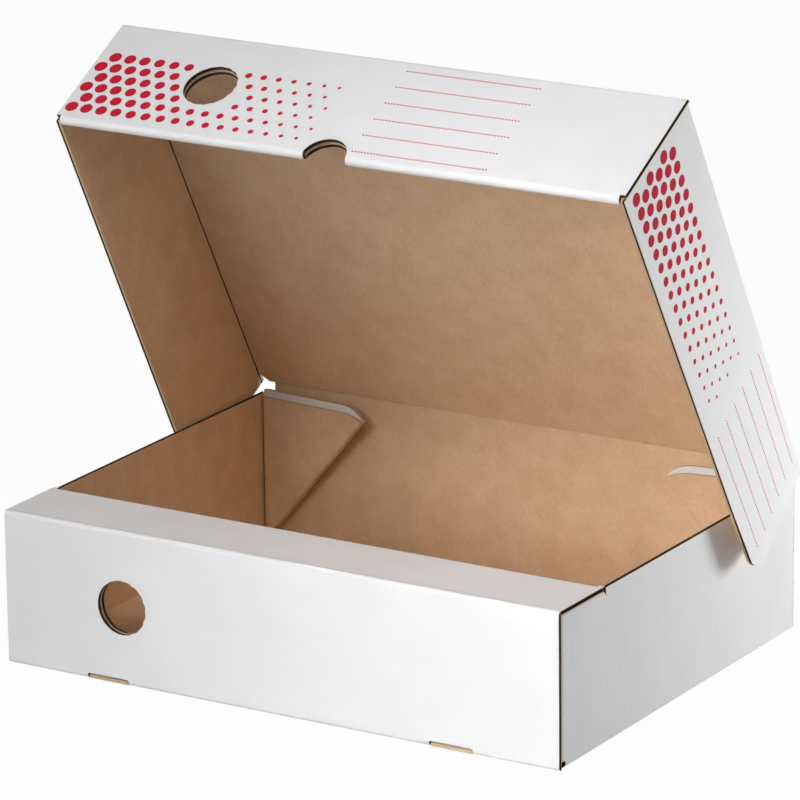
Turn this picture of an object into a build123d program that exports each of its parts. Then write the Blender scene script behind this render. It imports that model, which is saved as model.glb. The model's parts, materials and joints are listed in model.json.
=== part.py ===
import os

from build123d import *

# Archive box of folded corrugated board: a tray, two folded corner webs and a hinged lid.
# +X runs along the lid's hinge, +Y to the back, +Z up. The origin is the centre of the underside.
# All lengths are in millimetres and all angles in degrees.

# Board
board = 2.6
pressed_board = 0.9
fold_round_share = 0.9
cut_overrun = 5.0

# Tray
base_width = 347.0
base_depth = 263.0
rail_height = 87.5
rail_depth = 48.0
side_drop = 1.2
corner_relief_radius = 2.2
slit_width = 1.4
slit_depth = 6.5

# Plies that are tucked in
tuck_clearance = 0.4
front_ear_length = 45.0
dust_flap_length = 56.0
ear_corner_cut = 8.0

# Locking tabs of the tray's front
tab_offset = 108.0
tab_width = 25.5
tab_slot_height = 3.2
tab_slot_side_clearance = 0.6
tab_slot_corner_radius = 1.2

# Finger hole through both fronts
finger_hole_radius = 15.5
finger_hole_offset = 98.0
finger_hole_height = 44.0
lid_finger_hole_drop = 38.8

# Lid
hinge_rise = 5.0
hinge_gap = 0.3
lid_open_angle = 61.2
lid_side_clearance = 0.4
lid_front_clearance = 4.0
lid_front_drop = 79.5
lid_flap_front_drop = 79.0
lid_flap_rear_drop = 84.0
lid_flap_rear_inset = 0.5
lid_flap_corner_radius = 17.0
left_flap_flare_angle = 0.4
right_flap_flare_angle = 8.0
lid_hinge_corner_cut = 6.0
thumb_notch_radius = 13.2
thumb_notch_rise = 0.5
thumb_notch_offset = 5.0

# Corner webs
web_gap = 0.3
web_length = 68.0
web_front_drop = 8.0
web_rear_drop = 4.0
web_tip_drop = 3.5
web_round_run = 15.0
web_foot = 2.0
left_web_angle = 4.5
right_web_angle = 9.0
back_relief_width = 9.0
back_relief_drop = 9.5

# Places that follow from the sizes above
fold_radius = fold_round_share * board
half_width = base_width / 2
half_depth = base_depth / 2
inner_half_width = half_width - board
front_inner_y = -half_depth + board
liner_front_y = front_inner_y + pressed_board
liner_rear_y = liner_front_y + board
back_inner_y = half_depth - board
side_height = rail_height - side_drop
rail_underside = rail_height - board
under_ply_top = rail_underside - pressed_board
under_ply_underside = under_ply_top - board
rail_rear_y = -half_depth + rail_depth
stack = 2 * board + pressed_board
roll_radius = stack / 2
roll_axis_y = rail_rear_y - roll_radius
roll_axis_z = rail_height - roll_radius
tucked_half_width = inner_half_width - tuck_clearance

hinge_y = half_depth - board / 2
hinge_z = rail_height + hinge_rise
lid_top_outside = hinge_z + board / 2
lid_top_inside = hinge_z - board / 2
lid_inner_half_width = half_width + lid_side_clearance
lid_half_width = lid_inner_half_width + board
lid_tucked_half_width = lid_inner_half_width - tuck_clearance
lid_liner_rear_y = -half_depth - lid_front_clearance
lid_liner_front_y = lid_liner_rear_y - board
lid_front_inner_y = lid_liner_front_y - pressed_board
lid_front_y = lid_front_inner_y - board
lid_front_bottom = lid_top_outside - lid_front_drop
lid_roll_axis_y = lid_front_y + roll_radius
lid_roll_axis_z = lid_front_bottom + roll_radius

web_axis_x = inner_half_width - web_gap - board
web_axis_y = back_inner_y - web_gap - board
web_bottom = board + web_gap
web_front_top = hinge_z - web_front_drop
web_rear_top = hinge_z - web_rear_drop
web_tip_z = web_front_top - web_tip_drop


def slab(x_span, y_span, z_span):
    """A flat panel between two limits along each axis."""
    spans = (x_span, y_span, z_span)
    sizes = [high - low for low, high in spans]
    centre = [(low + high) / 2 for low, high in spans]
    return Pos(*centre) * Box(*sizes)


def fold_edges(panel, along, *sides):
    """Round the edges of a panel that run along one axis and lie on the given sides."""
    edges = panel.edges().filter_by(along)
    for axis, index in sides:
        edges = edges.group_by(axis)[index]
    return fillet(edges, fold_radius)


def bar_x(radius, half_length, y, z):
    """A round bar along X."""
    return Pos(0, y, z) * Rot(0, 90, 0) * Cylinder(radius, 2 * half_length)


def bar_y(radius, x, z, y_span):
    """A round bar along Y between two limits."""
    low, high = y_span
    return Pos(x, (low + high) / 2, z) * Rot(90, 0, 0) * Cylinder(radius, high - low)


def rolled_fold(half_length, axis_y, axis_z, keep_y, keep_z):
    """Half of a tube along X: the fold that turns one ply back under another."""
    tube = bar_x(roll_radius, half_length, axis_y, axis_z)
    tube -= bar_x(pressed_board / 2, half_length + cut_overrun, axis_y, axis_z)
    reach = half_length + cut_overrun
    return tube & slab((-reach, reach), keep_y, keep_z)


def finger_hole(height, cutter_y):
    """The finger hole's cutter through the plies of a front."""
    return bar_y(finger_hole_radius, -finger_hole_offset, height, cutter_y)


# Tray
def make_bottom_panel():
    panel = slab((-inner_half_width, inner_half_width), (front_inner_y, back_inner_y), (0, board))
    slot_half = tab_width / 2 + tab_slot_side_clearance
    slot_y = (front_inner_y - cut_overrun, liner_rear_y + tuck_clearance)
    for side in (-1, 1):
        centre = side * tab_offset
        panel -= slab((centre - slot_half, centre + slot_half), slot_y, (-cut_overrun, board + cut_overrun))
    return panel


def make_front_wall():
    wall = slab((-half_width, half_width), (-half_depth, front_inner_y), (0, rail_height))
    wall = fold_edges(wall, Axis.X, (Axis.Y, 0))
    cutter_y = (-half_depth - cut_overrun, front_inner_y + cut_overrun)
    wall -= finger_hole(finger_hole_height, cutter_y)
    slot_half = tab_width / 2 + tab_slot_side_clearance
    for side in (-1, 1):
        centre = side * tab_offset
        slot = slab((centre - slot_half, centre + slot_half), cutter_y, (-tab_slot_height, tab_slot_height))
        wall -= fillet(slot.edges().filter_by(Axis.Y), tab_slot_corner_radius)
    return wall


def make_front_rail_top():
    strip = slab((-half_width, half_width), (front_inner_y, roll_axis_y), (rail_underside, rail_height))
    for side in (-1, 1):
        ends = sorted((side * tucked_half_width, side * half_width))
        strip += slab(ends, (roll_axis_y, rail_rear_y), (rail_underside, rail_height))
    behind = (roll_axis_y, rail_rear_y + cut_overrun)
    whole = (under_ply_underside - cut_overrun, rail_height + cut_overrun)
    return strip + rolled_fold(tucked_half_width, roll_axis_y, roll_axis_z, behind, whole)


def make_front_rail_under():
    span = (-tucked_half_width, tucked_half_width)
    return slab(span, (liner_rear_y, roll_axis_y), (under_ply_underside, under_ply_top))


def make_front_wall_liner():
    span = (-tucked_half_width, tucked_half_width)
    liner = slab(span, (liner_front_y, liner_rear_y), (board, under_ply_top))
    liner = fold_edges(liner, Axis.X, (Axis.Y, 0), (Axis.Z, -1))
    for side in (-1, 1):
        centre = side * tab_offset
        tab_x = (centre - tab_width / 2, centre + tab_width / 2)
        liner += slab(tab_x, (liner_front_y, liner_rear_y), (tuck_clearance, board))
    cutter_y = (liner_front_y - cut_overrun, liner_rear_y + cut_overrun)
    return liner - finger_hole(finger_hole_height, cutter_y)


def make_right_wall():
    across = (inner_half_width, half_width)
    low_wall = slab(across, (front_inner_y, back_inner_y), (0, rail_underside))
    low_wall = fold_edges(low_wall, Axis.Y, (Axis.X, -1))
    low_wall = fillet(low_wall.edges().filter_by(Axis.Z).group_by(Axis.X)[-1].sort_by(Axis.Y)[0], fold_radius)
    step_y = rail_rear_y + slit_width
    high_wall = slab(across, (step_y, back_inner_y), (rail_underside - board, side_height))
    wall = low_wall + high_wall
    relief_y = front_inner_y + corner_relief_radius
    relief = Pos(half_width, relief_y, corner_relief_radius) * Rot(0, 90, 0)
    wall -= relief * Cylinder(corner_relief_radius, 2 * (board + cut_overrun))
    slit_top = rail_height + cut_overrun
    slit = Polyline(
        (rail_rear_y, slit_top),
        (step_y, slit_top),
        (step_y, rail_height),
        (step_y + slit_width / 2, rail_height - slit_depth),
        (rail_rear_y, rail_underside),
        close=True,
    )
    cutter = extrude(Plane.YZ * make_face(slit), half_width + cut_overrun)
    return wall - cutter


def make_right_front_ear():
    inner_end = inner_half_width - front_ear_length
    ear_y = (front_inner_y, liner_front_y)
    ear_z = (board + tuck_clearance, under_ply_top - fold_radius)
    ear = slab((inner_end, inner_half_width), ear_y, ear_z)
    free_corners = ear.edges().filter_by(Axis.Y).group_by(Axis.X)[0]
    return chamfer(free_corners, ear_corner_cut)


def make_right_dust_flap():
    inner_end = inner_half_width - dust_flap_length
    flap_y = (liner_rear_y, roll_axis_y - tuck_clearance)
    flap = slab((inner_end, inner_half_width), flap_y, (under_ply_top, rail_underside))
    free_corners = flap.edges().filter_by(Axis.Z).group_by(Axis.X)[0]
    return chamfer(free_corners, ear_corner_cut)


def make_back_wall():
    wall = slab((-half_width, half_width), (back_inner_y, half_depth), (0, hinge_z))
    wall = fold_edges(wall, Axis.X, (Axis.Y, -1), (Axis.Z, 0))
    wall = fillet(wall.edges().filter_by(Axis.Z).group_by(Axis.Y)[-1], fold_radius)
    wall += bar_x(board / 2, half_width, hinge_y, hinge_z)
    relief_z = (hinge_z - back_relief_drop, hinge_z + cut_overrun)
    relief_y = (back_inner_y - cut_overrun, half_depth + cut_overrun)
    for side in (-1, 1):
        ends = sorted((side * (half_width - back_relief_width), side * (half_width + cut_overrun)))
        wall -= slab(ends, relief_y, relief_z)
    return wall


# Corner webs, drawn flat on the back wall at the right corner with the swing axis at the origin
def web_outline(top):
    """Outline of a leaf along the back wall: upright root, level top, rounded shoulder, diagonal fold."""
    shoulder_x = web_round_run - web_length
    root = Line((0, web_bottom), (0, top))
    level = Line((0, top), (shoulder_x, top))
    shoulder = RadiusArc((shoulder_x, top), (-web_length, web_tip_z), -web_shoulder_radius(top))
    diagonal = Line((-web_length, web_tip_z), (-web_foot, web_bottom))
    foot = Line((-web_foot, web_bottom), (0, web_bottom))
    return make_face([root, level, shoulder, diagonal, foot])


def web_shoulder_radius(top):
    """Radius of the arc that leaves the level top edge and ends at the leaf's tip."""
    drop = top - web_tip_z
    return (web_round_run**2 + drop**2) / (2 * drop)


def make_leaf(top, facing):
    """One leaf of the right web: facing is -1 for the leaf in front of the fold and 1 for the one behind."""
    leaf = extrude(Plane.XZ * web_outline(top), -facing * board)
    rod = Pos(0, 0, (web_bottom + top) / 2) * Cylinder(board, top - web_bottom)
    quarter_y = sorted((0, facing * (board + cut_overrun)))
    quarter = rod & slab((0, board + cut_overrun), quarter_y, (web_bottom, top))
    return leaf + quarter


def place_right_web(leaf, angle):
    return Pos(web_axis_x, web_axis_y, 0) * Rot(0, 0, angle) * leaf


# Lid, drawn closed and then opened about the hinge
def make_lid_top():
    span = (-lid_inner_half_width, lid_inner_half_width)
    rear_y = hinge_y - board / 2 - hinge_gap
    panel = slab(span, (lid_front_inner_y, rear_y), (lid_top_inside, lid_top_outside))
    rear_corners = panel.edges().filter_by(Axis.Z).group_by(Axis.Y)[-1]
    return chamfer(rear_corners, lid_hinge_corner_cut)


def cut_lid_front(ply):
    """Cut the finger hole and the thumb notch through a ply of the lid's front."""
    cutter_y = (lid_front_y - cut_overrun, lid_liner_rear_y + cut_overrun)
    notch_z = lid_front_bottom + thumb_notch_rise
    ply -= finger_hole(lid_top_outside - lid_finger_hole_drop, cutter_y)
    return ply - bar_y(thumb_notch_radius, -thumb_notch_offset, notch_z, cutter_y)


def make_lid_front_flap():
    span = (-lid_half_width, lid_half_width)
    flap = slab(span, (lid_front_y, lid_front_inner_y), (lid_roll_axis_z, lid_top_outside))
    flap = fold_edges(flap, Axis.X, (Axis.Y, 0), (Axis.Z, -1))
    whole = (lid_front_y - cut_overrun, lid_liner_rear_y + cut_overrun)
    below = (lid_front_bottom - cut_overrun, lid_roll_axis_z)
    flap += rolled_fold(lid_tucked_half_width, lid_roll_axis_y, lid_roll_axis_z, whole, below)
    return cut_lid_front(flap)


def make_lid_front_liner():
    span = (-lid_tucked_half_width, lid_tucked_half_width)
    liner_z = (lid_roll_axis_z, lid_top_inside)
    liner = slab(span, (lid_liner_front_y, lid_liner_rear_y), liner_z)
    return cut_lid_front(liner)


def lid_flap_section(y, flare):
    """Cross-section of the right flap at one place along it, hung from the lid's edge and flared outwards."""
    rectangle = Pos(board / 2, -lid_flap_rear_drop / 2) * Rectangle(board, lid_flap_rear_drop)
    outer_top = rectangle.vertices().group_by(Axis.Y)[-1].sort_by(Axis.X)[-1]
    section = fillet(outer_top, fold_radius)
    corner = Plane(origin=(lid_inner_half_width, y, lid_top_outside), x_dir=(1, 0, 0), z_dir=(0, -1, 0))
    return corner * Rot(0, 0, flare) * section


def make_lid_flap(flare):
    """The right flap: square to the lid's front, flared at the rear, with a rounded rear corner."""
    front_y = lid_front_inner_y
    rear_y = half_depth - lid_flap_rear_inset
    flap = loft([lid_flap_section(front_y, 0), lid_flap_section(rear_y, flare)], ruled=True)
    rear_bottom = (rear_y, lid_top_outside - lid_flap_rear_drop)
    outline = Polyline(
        (front_y, lid_top_outside + cut_overrun),
        (rear_y, lid_top_outside + cut_overrun),
        rear_bottom,
        (front_y, lid_top_outside - lid_flap_front_drop),
        close=True,
    )
    outline = make_face(outline)
    corner = outline.vertices().sort_by_distance(rear_bottom)[0]
    outline = fillet(corner, lid_flap_corner_radius)
    keep = extrude(Plane.YZ * outline, lid_half_width + lid_flap_rear_drop)
    return flap & keep


def make_lid_right_ear():
    inner_end = lid_inner_half_width - front_ear_length
    ear_y = (lid_front_inner_y, lid_liner_front_y)
    ear_z = (lid_front_bottom + stack, lid_top_inside)
    ear = slab((inner_end, lid_inner_half_width), ear_y, ear_z)
    free_corners = ear.edges().filter_by(Axis.Y).group_by(Axis.X)[0]
    return chamfer(free_corners, ear_corner_cut)


def open_lid(piece):
    hinge = Pos(0, hinge_y, hinge_z)
    return hinge * Rot(-lid_open_angle, 0, 0) * hinge.inverse() * piece


def left_of(piece):
    return mirror(piece, about=Plane.YZ)


right_wall = make_right_wall()
right_front_ear = make_right_front_ear()
right_dust_flap = make_right_dust_flap()
front_leaf = make_leaf(web_front_top, -1)
rear_leaf = make_leaf(web_rear_top, 1)
lid_right_ear = make_lid_right_ear()

pieces = {
    "bottom_panel": make_bottom_panel(),
    "front_wall": make_front_wall(),
    "front_rail_top": make_front_rail_top(),
    "front_rail_under": make_front_rail_under(),
    "front_wall_liner": make_front_wall_liner(),
    "left_wall": left_of(right_wall),
    "right_wall": right_wall,
    "left_front_ear": left_of(right_front_ear),
    "right_front_ear": right_front_ear,
    "left_dust_flap": left_of(right_dust_flap),
    "right_dust_flap": right_dust_flap,
    "back_wall": make_back_wall(),
    "left_web_front_leaf": left_of(place_right_web(front_leaf, left_web_angle)),
    "left_web_rear_leaf": left_of(place_right_web(rear_leaf, left_web_angle)),
    "right_web_front_leaf": place_right_web(front_leaf, right_web_angle),
    "right_web_rear_leaf": place_right_web(rear_leaf, right_web_angle),
    "lid_top": open_lid(make_lid_top()),
    "lid_front_flap": open_lid(make_lid_front_flap()),
    "lid_front_liner": open_lid(make_lid_front_liner()),
    "lid_left_flap": open_lid(left_of(make_lid_flap(left_flap_flare_angle))),
    "lid_right_flap": open_lid(make_lid_flap(right_flap_flare_angle)),
    "lid_left_ear": open_lid(left_of(lid_right_ear)),
    "lid_right_ear": open_lid(lid_right_ear),
}

os.makedirs("parts", exist_ok=True)
for name, piece in pieces.items():
    piece.label = name
    export_step(piece, f"parts/{name}.step")
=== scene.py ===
# %% [markdown]
# # An archive box of folded corrugated board
# The box is one die-cut blank: a tray, two corner webs and a hinged lid, all of the same board. The board
# is a sandwich of three papers: a white outer liner, a wavy medium and a brown inner liner. The packed
# CAD model gives each panel between two creases as a plain solid, and this lesson turns every one of them
# into that sandwich.

# %% Load the frame
import json
import math

import bmesh
import bpy
from mathutils import Matrix, Vector
from mathutils.bvhtree import BVHTree


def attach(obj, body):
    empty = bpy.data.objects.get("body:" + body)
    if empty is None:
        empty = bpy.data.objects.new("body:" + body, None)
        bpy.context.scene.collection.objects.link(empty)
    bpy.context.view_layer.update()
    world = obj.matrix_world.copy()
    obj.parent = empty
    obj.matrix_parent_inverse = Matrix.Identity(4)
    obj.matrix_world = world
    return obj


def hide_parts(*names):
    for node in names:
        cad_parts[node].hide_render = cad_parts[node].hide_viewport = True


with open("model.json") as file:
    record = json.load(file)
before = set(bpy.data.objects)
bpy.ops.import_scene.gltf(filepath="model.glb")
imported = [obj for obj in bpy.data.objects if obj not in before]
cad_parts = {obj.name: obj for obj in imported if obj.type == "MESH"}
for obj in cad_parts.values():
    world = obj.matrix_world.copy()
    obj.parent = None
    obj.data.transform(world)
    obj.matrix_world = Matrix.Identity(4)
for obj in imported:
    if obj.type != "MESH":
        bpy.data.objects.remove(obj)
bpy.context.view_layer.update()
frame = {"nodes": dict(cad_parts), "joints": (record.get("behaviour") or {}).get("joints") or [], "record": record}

MM = 0.001

# %% [markdown]
# ## Where the panels lie
# The lid is packed half open, so its panels are turned about the hinge, and each web is turned about its
# own upright line. Work is easier on a closed, square box. The joints in the frame tell how far each body
# is turned, and the matrix below takes a panel from its own square place to its place at rest.

# %% Turn of each body
body_of = {}
for body, members in frame["record"]["behaviour"]["bodies"].items():
    for member in members:
        body_of[member] = body
joints = {joint["child"]: joint for joint in frame["joints"]}


def turn_about(point, angle, axis):
    """Rotation about a line through a point."""
    return Matrix.Translation(point) @ Matrix.Rotation(angle, 4, axis) @ Matrix.Translation(-point)


# Fully open, the lid is folded back level behind the box, half a turn from closed.
HALF_TURN = 180
hinge_at = Vector(joints["lid"]["pos_m"])
lid_open = math.radians(HALF_TURN - joints["lid"]["range_deg"][1])
left_web_turn = math.radians(joints["left_web"]["range_deg"][0])
right_web_turn = math.radians(-joints["right_web"]["range_deg"][0])
turned = {
    "base": Matrix.Identity(4),
    "lid": turn_about(hinge_at, -lid_open, "X"),
    "left_web": turn_about(Vector(joints["left_web"]["pos_m"]), left_web_turn, "Z"),
    "right_web": turn_about(Vector(joints["right_web"]["pos_m"]), right_web_turn, "Z"),
}


def square_points(node):
    """The corners of a panel's mesh in its own square place."""
    back = turned[body_of[node]].inverted()
    return [back @ vertex.co for vertex in frame["nodes"][node].data.vertices]


def square_box(node):
    """Lowest and highest corner of a panel in its own square place."""
    points = square_points(node)
    low = Vector([min(p[i] for p in points) for i in range(3)])
    high = Vector([max(p[i] for p in points) for i in range(3)])
    return low, high


bottom_low, bottom_high = square_box("bottom_panel")
board = bottom_high.z - bottom_low.z
rail_low, rail_high = square_box("front_rail_top")
roll_depth = rail_high.z - rail_low.z
roll_radius = roll_depth / 2
lid_front_low, lid_front_high = square_box("lid_front_flap")
lid_top_low, lid_top_high = square_box("lid_top")
print("board", round(board / MM, 2), "mm, roll", round(roll_radius / MM, 2), "mm")
print("lid open", round(math.degrees(lid_open), 1), "degrees")

# %% [markdown]
# ## Tools for nodes and meshes
# Shader trees and geometry trees are both lists of nodes with links, so one small function adds a node to
# either. Colours are written as the sRGB hex values that a paint program shows, and Blender computes with
# linear light, so one function converts them.


# %% Node, colour and mesh helpers
def add(tree, kind, inputs=None, **settings):
    """Add a node: settings are its properties; inputs are values, other nodes' outputs, or lists of them."""
    made = tree.nodes.new(kind)
    for name, value in settings.items():
        setattr(made, name, value)
    for name, value in (inputs or {}).items():
        sources = value if isinstance(value, list) else [value]
        for source in sources:
            if isinstance(source, bpy.types.NodeSocket):
                tree.links.new(source, made.inputs[name])
            else:
                made.inputs[name].default_value = source
    return made


def colour(code):
    """Linear RGBA of an sRGB hex code."""
    channels = [int(code[i:i + 2], 16) / 255 for i in (1, 3, 5)]
    linear = [c / 12.92 if c <= 0.04045 else ((c + 0.055) / 1.055) ** 2.4 for c in channels]
    return (*linear, 1.0)


def link(name, mesh):
    """A new object in the scene for a mesh."""
    made = bpy.data.objects.new(name, mesh)
    bpy.context.scene.collection.objects.link(made)
    return made


def settled(thing):
    """The mesh of an object with its modifiers applied; the object itself goes away."""
    graph = bpy.context.evaluated_depsgraph_get()
    mesh = bpy.data.meshes.new_from_object(thing.evaluated_get(graph))
    bpy.data.objects.remove(thing)
    return mesh


def as_mesh(made, name):
    """A mesh from a BMesh, which is freed."""
    mesh = bpy.data.meshes.new(name)
    made.to_mesh(mesh)
    made.free()
    return mesh


def skin(outlines, ring=False):
    """A closed BMesh over a row of outlines: bands between them, and two caps unless the row is a ring."""
    made = bmesh.new()
    loops = [[made.verts.new(spot) for spot in outline] for outline in outlines]
    for loop, following in zip(loops, loops[1:] + loops[:1] if ring else loops[1:]):
        for corner in range(len(loop)):
            other = (corner + 1) % len(loop)
            made.faces.new((loop[corner], loop[other], following[other], following[corner]))
    if not ring:
        made.faces.new(loops[0])
        made.faces.new(loops[-1])
    bmesh.ops.recalc_face_normals(made, faces=made.faces)
    return made


# %% [markdown]
# ## Papers
# Every paper here is a matt, fibrous sheet. The white liner is bleached and lightly clay coated, so it is
# smooth with a slight sheen. The kraft liner is unbleached pulp: its fibres lie mostly along the machine
# and give fine streaks and dark specks. Both papers dip a little between the flutes that they are glued
# to, which the eye sees as faint parallel lines. A pattern has to follow each panel, so it reads an
# attribute with the panel's own coordinates: along the flutes, across them, and through the board.

# %% Paper maker
FLUTE_PITCH = 6.3 * MM
# The Wave texture multiplies its coordinate by this number before it takes the sine.
WAVE_TURNS = 20
MATERIALS = {}


def paper(name, base, roughness, specular):
    """A material with its tree, its shader and the panel's own coordinates in millimetres."""
    made = bpy.data.materials.new(name)
    made.use_nodes = True
    tree = made.node_tree
    shader = tree.nodes["Principled BSDF"]
    shader.inputs["Base Color"].default_value = colour(base)
    shader.inputs["Roughness"].default_value = roughness
    shader.inputs["Specular IOR Level"].default_value = specular
    spot = add(tree, "ShaderNodeAttribute", attribute_name="board_place").outputs["Vector"]
    scaled = add(tree, "ShaderNodeVectorMath", {0: spot, "Scale": 1 / MM}, operation="SCALE")
    place = scaled.outputs["Vector"]
    MATERIALS[name] = made
    return tree, shader, place


def washboard(tree, shader, place, dip, grain, grain_height):
    """Shallow waves where the liner dips between the flutes, under a finer grain of the sheet itself."""
    wave_scale = math.tau / WAVE_TURNS / (FLUTE_PITCH / MM)
    wave = add(tree, "ShaderNodeTexWave", {
        "Vector": place, "Scale": wave_scale, "Distortion": 0.6, "Detail": 1.0}, bands_direction="Y")
    low = add(tree, "ShaderNodeBump", {"Height": wave.outputs["Fac"], "Distance": dip})
    high = add(tree, "ShaderNodeBump", {
        "Height": grain, "Distance": grain_height, "Normal": low.outputs["Normal"]})
    tree.links.new(high.outputs["Normal"], shader.inputs["Normal"])


def mottle(tree, shader, place, size, detail, dark, light):
    """Let a paper's colour wander between two tones, in patches of a size in millimetres."""
    patches = add(tree, "ShaderNodeTexNoise", {"Vector": place, "Scale": 1 / size, "Detail": detail})
    tint = add(tree, "ShaderNodeMix", {
        "Factor": patches.outputs["Fac"], "A": colour(dark), "B": colour(light)}, data_type="RGBA")
    tree.links.new(tint.outputs["Result"], shader.inputs["Base Color"])


# %% [markdown]
# The white liner is what most of the box shows. Its coating gives a soft sheen and an almost even tone,
# with only a slight cloudiness, so that the large panels don't look like plastic.

# %% White liner
# Sizes of patterns are in millimetres, as the panel's own coordinates are.
GRAIN_SIZE = 1.4
tree, shader, place = paper("white_coated_liner", "#EEEEEF", roughness=0.55, specular=0.25)
mottle(tree, shader, place, size=30.0, detail=4.0, dark="#EAEAEB", light="#F3F3F4")
grain = add(tree, "ShaderNodeTexNoise", {"Vector": place, "Scale": 1 / GRAIN_SIZE, "Detail": 2.0})
washboard(tree, shader, place, dip=0.02 * MM, grain=grain.outputs["Fac"], grain_height=0.015 * MM)
print("white liner", len(tree.nodes), "nodes")

# %% [markdown]
# The kraft liner gives the warm inside of the box. Its brown pulp is streaked by the fibres, cloudy, and
# specked with bark. Real fibres are too fine to show from a step away, so they are drawn about three
# times as coarse.

# %% Kraft liner
FIBRE_WIDTH, FIBRE_LENGTH, CLOUD_SIZE, SPECK_SIZE = 0.7, 3.0, 14.0, 1.3
tree, shader, place = paper("kraft_liner", "#E2C19E", roughness=0.8, specular=0.1)
laid = add(tree, "ShaderNodeMapping", {
    "Vector": place, "Scale": (1 / FIBRE_WIDTH, 1 / FIBRE_LENGTH, 1 / FIBRE_WIDTH)}).outputs["Vector"]
fibre = add(tree, "ShaderNodeTexNoise", {"Vector": laid, "Scale": 1.0, "Detail": 3.0}).outputs["Fac"]
cloud = add(tree, "ShaderNodeTexNoise", {"Vector": place, "Scale": 1 / CLOUD_SIZE, "Detail": 4.0})
both = add(tree, "ShaderNodeMath", {0: fibre, 1: cloud.outputs["Fac"]}, operation="ADD").outputs[0]
share = add(tree, "ShaderNodeMapRange", {
    "Value": both, "From Min": 0.7, "From Max": 1.3, "To Min": 0.0, "To Max": 1.0}).outputs[0]
pulp = add(tree, "ShaderNodeMix", {
    "Factor": share, "A": colour("#DAB894"), "B": colour("#E9CBA9")}, data_type="RGBA").outputs["Result"]
bark = add(tree, "ShaderNodeTexNoise", {"Vector": place, "Scale": 1 / SPECK_SIZE, "Detail": 1.0})
speck = add(tree, "ShaderNodeMapRange", {
    "Value": bark.outputs["Fac"], "From Min": 0.7, "From Max": 0.8,
    "To Min": 0.0, "To Max": 0.4}).outputs[0]
tint = add(tree, "ShaderNodeMix", {"Factor": speck, "A": pulp, "B": colour("#A8845E")}, data_type="RGBA")
tree.links.new(tint.outputs["Result"], shader.inputs["Base Color"])
washboard(tree, shader, place, dip=0.05 * MM, grain=fibre, grain_height=0.03 * MM)
print("kraft liner", len(tree.nodes), "nodes")

# %% [markdown]
# The medium is a coarse grey-brown paper, given a colour far darker than its own as painted shade for the
# deep tunnels, and the backs of both liners inside the tunnels take the same dark colour, also painted shade.
# At the cut edge of a liner the knife shows pale torn fibres. So an edge of the board is a dark line where the
# tunnels open, partly painted shade, between two pale ones. The ink is water based: a flat, matt red that sinks
# into the coating, a little thinner where the plate pressed unevenly.

# %% Medium, cut edge and ink
# The medium's grey-brown is darkened well below the paper's own tone: painted shade for the tunnels.
tree, shader, place = paper("fluting_medium_and_painted_shade", "#4E3D2E", roughness=0.9, specular=0.05)
mottle(tree, shader, place, size=0.8, detail=2.0, dark="#433427", light="#5B4838")
tree, shader, place = paper("cut_liner_edge", "#CDB595", roughness=0.9, specular=0.05)
mottle(tree, shader, place, size=0.7, detail=2.0, dark="#BFA27C", light="#DECBAE")
tree, shader, place = paper("red_flexo_ink", "#CE2439", roughness=0.7, specular=0.05)
mottle(tree, shader, place, size=2.2, detail=3.0, dark="#C61F34", light="#D62C42")
SLOTS = ["white_coated_liner", "kraft_liner", "cut_liner_edge", "fluting_medium_and_painted_shade"]
WHITE, KRAFT, EDGE, FLUTE_AND_PAINTED_SHADE = range(4)
print("papers", list(MATERIALS))

# %% [markdown]
# ## The wavy medium
# Between the liners runs a paper that a hot gear has pressed into a wave. It could be drawn as a picture
# on the cut edge, but then a finger hole would show a flat brown rim. A Geometry Nodes tree makes the
# real sheet: a grid that a sine lifts, thickened and closed. Its sizes are named inputs, so each panel
# asks for its own piece.

# %% Geometry Nodes tree of the medium
LINER = 0.32 * MM
MEDIUM_PAPER = 0.22 * MM
MERGE = MEDIUM_PAPER / 100
STEPS_PER_FLUTE = 12


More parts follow.
